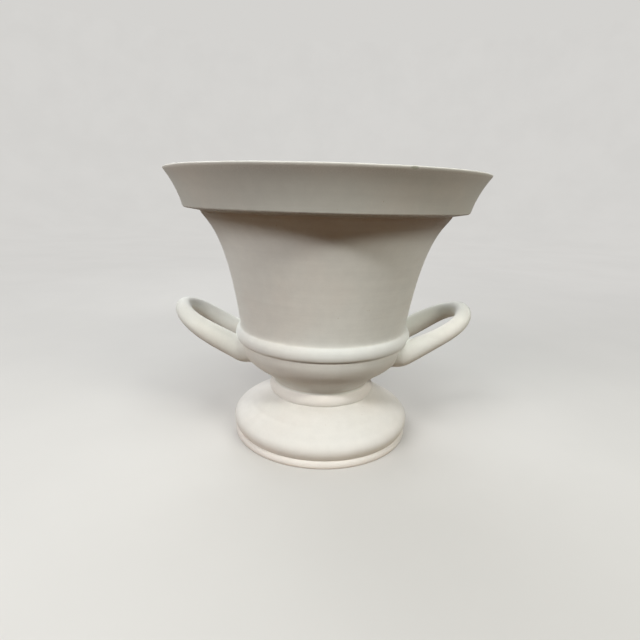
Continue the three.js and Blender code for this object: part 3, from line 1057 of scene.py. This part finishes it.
def make_handle(name, spread, loop, drop, first, last, turn, material, core):
    """A handle turned to its side of the pot, filleted, and cut off where it is set in."""
    h = bpy.context.scene.vase_handles
    points, radii = handle_path(spread, loop, drop, first, last)
    points = points @ np.array(Matrix.Rotation(turn, 3, "Z")).T
    obj = wire(name, points, {"thickness": radii})
    tree = bpy.data.node_groups.get("handle_tube") or tube_tree()
    grow(obj, tree, {"Sides": HANDLE_SIDES, "Dents": 2 * h.dents, "Material": material})
    slip_fillet(obj.data, points)
    cut = obj.modifiers.new("cut", "BOOLEAN")
    cut.operation = "DIFFERENCE"
    cut.solver = "EXACT"
    cut.object = core
    settle(obj)
    # Settled dirt and painted shade round the roots: a negative relief, which the clay darkens as it does a
    # crease.
    near = np.clip(1 - np.abs(clearance(read_points(obj.data))) / ROOT_DUST_AND_SHADE_REACH, 0, 1)
    mark = obj.data.attributes.new("relief", "FLOAT", "POINT")
    mark.data.foreach_set("value", (-ROOT_DUST_AND_SHADE * near).astype(np.float32))
    return obj


# Marks in the clay, and painted shade: where each is, how far it spreads, its tint and its strength
SCRATCH = ((0.0376, -0.0542, 0.1345), (0.0022, 0.0030, 0.0007), (0.86, 0.85, 0.82), 0.5)
# The lip and the top of the band lifted back toward the body's tone, out of the band's painted shade.
LIP_OUT_OF_PAINTED_SHADE = ((0, 0, LIP_LEVEL + 0.010), (1.0, 1.0, 0.0160), (0.80, 0.795, 0.76), 0.55)
# Painted shade: a dark brown ring under the band, standing in for the shade on its underside.
PAINTED_SHADE_UNDER_BAND = ((0, 0, BAND_FOOT - 0.0006), (1.0, 1.0, 0.0028), (0.24, 0.17, 0.10), 0.8)
STAIN_SPREAD = (0.0030, 0.0030, 0.0013)
STAIN_TINT = (0.32, 0.34, 0.26)
STAIN_STRENGTH = 0.7

# The chip in the lip: its direction, how far under the lip it lies, its reach each way and its depth
CHIP_TURN = math.radians(-67.6)
CHIP_DROP = 0.0012
CHIP_REACH = (0.0028, 0.0028, 0.0016)
CHIP_DEPTH = 0.0005

# How steeply the chip is pressed in, and the ripple of its bed
CHIP_DIP = 0.7
CHIP_RIPPLE = 0.25
CHIP_WAVES = (2900, 4100)

# Steps round the rim, more than elsewhere for the chip
LIP_STEPS = 480


def chip(mesh, place):
    """Presses a shallow flake into the lip's outer edge."""
    spots = read_points(mesh)
    apart = np.linalg.norm((spots - place) / CHIP_REACH, axis=1)
    ripple = np.sin(spots[:, 0] * CHIP_WAVES[0] + spots[:, 2] * CHIP_WAVES[1])
    bite = np.clip(1 - apart ** 2, 0, 1) * (1 - CHIP_RIPPLE + CHIP_RIPPLE * ripple)
    inward = -place / np.linalg.norm(place[:2])
    inward[2] = -CHIP_DIP
    write_points(mesh, spots + np.outer(CHIP_DEPTH * bite, unit(inward)))


def make_section(name, outline, base, node, spots=()):
    """Turns a section, gives it its clay and hands it in."""
    hand_in(turned_piece(name, outline, clay(name + "_clay", base, spots)), node)


# Operators

class VASE_OT_foot(bpy.types.Operator):
    """Makes the plinth and the domed foot"""
    bl_idname = "vase.foot"
    bl_label = "Foot"

    def execute(self, context):
        look = context.scene.vase_clay
        make_section("plinth", plinth_outline(), look.pale, "foot_plinth")
        make_section("dome", dome_outline(), look.foot, "foot_dome")
        return {"FINISHED"}


class VASE_OT_collar(bpy.types.Operator):
    """Makes the collar round the stem"""
    bl_idname = "vase.collar"
    bl_label = "Collar"

    def execute(self, context):
        base = context.scene.vase_clay.pale
        make_section("collar", collar_outline(), base, "stem_collar")
        return {"FINISHED"}


class VASE_OT_bowl(bpy.types.Operator):
    """Makes the bowl with its floor and neck"""
    bl_idname = "vase.bowl"
    bl_label = "Bowl"

    def execute(self, context):
        base = context.scene.vase_clay.body
        make_section("bowl", bowl_outline(), base, "lower_bowl")
        return {"FINISHED"}


class VASE_OT_bead(bpy.types.Operator):
    """Makes the bead between bowl and bell"""
    bl_idname = "vase.bead"
    bl_label = "Bead"

    def execute(self, context):
        base = context.scene.vase_clay.bead
        make_section("bead", bead_outline(), base, "bead_ring")
        return {"FINISHED"}


class VASE_OT_bell(bpy.types.Operator):
    """Makes the concave bell wall"""
    bl_idname = "vase.bell"
    bl_label = "Bell"

    def execute(self, context):
        base = context.scene.vase_clay.body
        make_section("bell", bell_outline(), base, "bell_wall", [SCRATCH])
        return {"FINISHED"}


class VASE_OT_rim(bpy.types.Operator):
    """Makes the flared band with its lip and the small chip in it"""
    bl_idname = "vase.rim"
    bl_label = "Rim"

    def execute(self, context):
        s = sizes()
        x, y = s.lip_radius * math.cos(CHIP_TURN), s.lip_radius * math.sin(CHIP_TURN)
        place = (x, y, LIP_LEVEL - CHIP_DROP)
        stain = (place, STAIN_SPREAD, STAIN_TINT, STAIN_STRENGTH)
        # The rim's clay: the band's colour carries painted shade, the lip is lifted out of it, and painted
        # shade lies under the band.
        material = clay("rim_clay", context.scene.vase_clay.band, [LIP_OUT_OF_PAINTED_SHADE, PAINTED_SHADE_UNDER_BAND, stain])
        rim = turned_piece("rim", rim_outline(), material, steps=LIP_STEPS, wave=s.lip_wave)
        chip(rim.data, np.array(place))
        hand_in(rim, "rim_band")
        return {"FINISHED"}


class VASE_OT_handles(bpy.types.Operator):
    """Makes the two looped handles"""
    bl_idname = "vase.handles"
    bl_label = "Handles"

    def execute(self, context):
        h = context.scene.vase_handles
        material = clay("handle_clay", context.scene.vase_clay.handles)
        core = pot_core(h.root_depth)
        left = (h.left_spread, h.left_loop, h.left_drop, h.left_back, h.left_front, math.pi)
        right = (h.right_spread, h.right_loop, h.right_drop, h.right_front, h.right_back, 0)
        left = make_handle("left_handle", *left, material, core)
        right = make_handle("right_handle", *right, material, core)
        bpy.data.objects.remove(core)
        hand_in(left, "handle_left")
        hand_in(right, "handle_right")
        return {"FINISHED"}


class VASE_OT_stage(bpy.types.Operator):
    """Sets the floor, the lamps and the camera"""
    bl_idname = "vase.stage"
    bl_label = "Stage"

    def execute(self, context):
        look = context.scene.vase_stage
        make_floor(look)
        for name, ends, distance, width, level_name, tint in LAMPS:
            make_lamp(name, ends, distance, width, getattr(look, level_name), tint)
        make_sky(look)
        make_camera(look)
        context.scene.view_settings.view_transform = "Standard"
        return {"FINISHED"}


# The floor: its level a hair under the base, its flat, the curve up to its low wall, and its mesh
FLOOR_LEVEL = -0.0001
FLOOR_REACH = 1.7
FLOOR_CURVE = 0.8
WALL_HEIGHT = 1.0
FLOOR_SPACING = 0.05
FLOOR_STEPS = 128

# Over which distance the paper starts to glow by itself, and over which its bounced light dims
GLOW_FADE = (0.0, 1.0, 0.2, 1.0)
BOUNCE_FADE = (0.07, 0.17)

# The lamps: the directions of the two ends, distance, width, the level's name and the tint
LAMP_TARGET = Vector((0, 0, 0.1))
LAMPS = (
    ("left_lamp", ((-18, 40), (-58, 25)), 1.2, 0.1, "left_level", (1.0, 0.97, 0.945)),
    ("right_lamp", ((24, 40), (58, 28)), 1.2, 0.14, "right_level", (1.0, 0.985, 0.89)),
    ("high_lamp", ((-40, 64), (40, 64)), 1.2, 0.4, "high_level", (0.93, 0.985, 1.0)),
    ("back_lamp", ((166, 29), (226, 29)), 1.3, 0.7, "back_level", (0.97, 0.985, 1.0)),
)
SKY_TINT = (1.0, 0.94, 0.86, 1.0)

# The camera's sensor in millimetres, and how near it sees
SENSOR_WIDTH = 36
NEAREST = 0.01


def make_floor(look):
    """A round floor that curves up into a low wall all round."""
    flat_end = (FLOOR_REACH, FLOOR_LEVEL)
    wall_foot, wall_top = (FLOOR_REACH + FLOOR_CURVE, FLOOR_LEVEL), (FLOOR_REACH + FLOOR_CURVE, WALL_HEIGHT)
    outline = np.concatenate([
        line((0, FLOOR_LEVEL), flat_end, FLOOR_SPACING),
        pulled(flat_end, wall_foot, wall_top, spacing=FLOOR_SPACING)[1:],
    ])
    floor = turn_round("floor", outline, {"relief": np.zeros(len(outline))}, {
        "Steps": FLOOR_STEPS,
        "Wobble": 0.0,
        "Wave": 0.0,
        "Wave From": BAND_FOOT,
        "Wave To": LIP_LEVEL,
        "Material": floor_material(look),
    })


def seen(tree):
    """1 for what the camera sees, directly or in gloss or glass, and 0 for light that bounces."""
    path = tree.nodes.new("ShaderNodeLightPath").outputs
    total = maths(tree, "ADD", path["Is Camera Ray"], path["Is Glossy Ray"])
    return maths(tree, "ADD", total, path["Is Transmission Ray"], use_clamp=True)


def floor_material(look):
    material = bpy.data.materials.new("floor_paper")
    material.use_nodes = True
    tree = material.node_tree
    tree.nodes.remove(tree.nodes["Principled BSDF"])
    place = tree.nodes.new("ShaderNodeTexCoord").outputs["Object"]
    mottle = ranged(tree, noise(tree, place, "mottle"), *SPANS["mottled"])
    pale = dimmed(tree, (*look.floor, 1.0), mottle)
    shown = put(tree, "ShaderNodeBsdfDiffuse", {"Color": pale})
    glow = put(tree, "ShaderNodeEmission", {"Color": pale, "Strength": 1.0})
    far = vector_length(tree, place)
    fade = ranged(tree, far, *GLOW_FADE)
    paper = put(tree, "ShaderNodeMixShader", {0: fade, 1: shown.outputs[0], 2: glow.outputs[0]})
    sent_up = mixed(tree, ranged(tree, far, *BOUNCE_FADE), (*look.near_bounce, 1.0), (*look.bounce, 1.0))
    bounce = put(tree, "ShaderNodeBsdfDiffuse", {"Color": sent_up})
    both = put(tree, "ShaderNodeMixShader", {0: seen(tree), 1: bounce.outputs[0], 2: paper.outputs[0]})
    tree.links.new(both.outputs[0], tree.nodes["Material Output"].inputs["Surface"])
    return material


def make_sky(look):
    world = bpy.data.worlds.new("studio")
    world.use_nodes = True
    tree = world.node_tree
    ground = tree.nodes["Background"]
    ground.inputs["Color"].default_value = SKY_TINT
    ground.inputs["Strength"].default_value = look.sky_level
    pale = put(tree, "ShaderNodeBackground", {"Color": (*look.floor, 1.0), "Strength": 1.0})
    both = put(tree, "ShaderNodeMixShader", {0: seen(tree), 1: ground.outputs[0], 2: pale.outputs[0]})
    tree.links.new(both.outputs[0], tree.nodes["World Output"].inputs["Surface"])
    bpy.context.scene.world = world


def toward(azimuth, elevation):
    """The direction from the vase: azimuth to the right of its front, and elevation over the floor."""
    turn, climb = math.radians(azimuth), math.radians(elevation)
    return Vector((math.sin(turn) * math.cos(climb), -math.cos(turn) * math.cos(climb), math.sin(climb)))


def make_lamp(name, ends, distance, width, level, tint):
    """A long lamp between two directions. A level of 1 lights a white surface that faces it to white."""
    first, last = (toward(*end) * distance for end in ends)
    ahead = ((first + last) / 2).normalized()
    along = (last - first).normalized()
    across = ahead.cross(along)
    data = bpy.data.lights.new(name, "AREA")
    data.shape = "RECTANGLE"
    data.size = (last - first).length
    data.size_y = width
    data.color = tint
    data.energy = level * math.pi ** 2 * distance ** 2
    obj = bpy.data.objects.new(name, data)
    turn = Matrix((along, across, ahead)).transposed().to_4x4()
    obj.matrix_world = Matrix.Translation(LAMP_TARGET + ahead * distance) @ turn
    bpy.context.scene.collection.objects.link(obj)


def make_camera(look):
    pitch, roll, yaw = look.camera_pitch, look.camera_roll, look.camera_yaw
    ahead = Vector((math.sin(yaw) * math.cos(pitch), math.cos(yaw) * math.cos(pitch), -math.sin(pitch)))
    level = Vector((math.cos(yaw), -math.sin(yaw), 0))
    upright = level.cross(ahead)
    right = math.cos(roll) * level + math.sin(roll) * upright
    up = math.cos(roll) * upright - math.sin(roll) * level
    data = bpy.data.cameras.new("camera")
    data.sensor_width = SENSOR_WIDTH
    data.lens = look.lens
    data.clip_start = NEAREST
    obj = bpy.data.objects.new("camera", data)
    turn = Matrix((right, up, -ahead)).transposed().to_4x4()
    obj.matrix_world = Matrix.Translation(Vector(look.camera_place)) @ turn
    bpy.context.scene.collection.objects.link(obj)
    bpy.context.scene.camera = obj


class VASE_PT_sections(bpy.types.Panel):
    """Lists the sections of the vase and their sizes"""
    bl_label = "Two-handled vase"
    bl_idname = "VASE_PT_sections"
    bl_space_type = "VIEW_3D"
    bl_region_type = "UI"
    bl_category = "Vase"

    def draw(self, context):
        column = self.layout.column()
        for operator in OPERATORS:
            column.operator(operator.bl_idname)
        for label, group in GROUPS.items():
            box = column.box()
            for name in group.__annotations__:
                box.prop(getattr(context.scene, label), name)


GROUPS = {
    "vase_sizes": VaseSizes,
    "vase_handles": HandleSizes,
    "vase_clay": ClayLook,
    "vase_stage": StageLook,
}
OPERATORS = (
    VASE_OT_foot,
    VASE_OT_collar,
    VASE_OT_bowl,
    VASE_OT_bead,
    VASE_OT_bell,
    VASE_OT_rim,
    VASE_OT_handles,
    VASE_OT_stage,
)


def register():
    for label, group in GROUPS.items():
        bpy.utils.register_class(group)
        setattr(bpy.types.Scene, label, PointerProperty(type=group))
    for item in (*OPERATORS, VASE_PT_sections):
        bpy.utils.register_class(item)


def unregister():
    for item in (VASE_PT_sections, *reversed(OPERATORS)):
        bpy.utils.unregister_class(item)
    for label, group in reversed(list(GROUPS.items())):
        delattr(bpy.types.Scene, label)
        bpy.utils.unregister_class(group)


def main():
    register()
    bpy.ops.vase.foot()
    bpy.ops.vase.collar()
    bpy.ops.vase.bowl()
    bpy.ops.vase.bead()
    bpy.ops.vase.bell()
    bpy.ops.vase.rim()
    bpy.ops.vase.handles()
    bpy.ops.vase.stage()


if __name__ == "__main__":
    main()
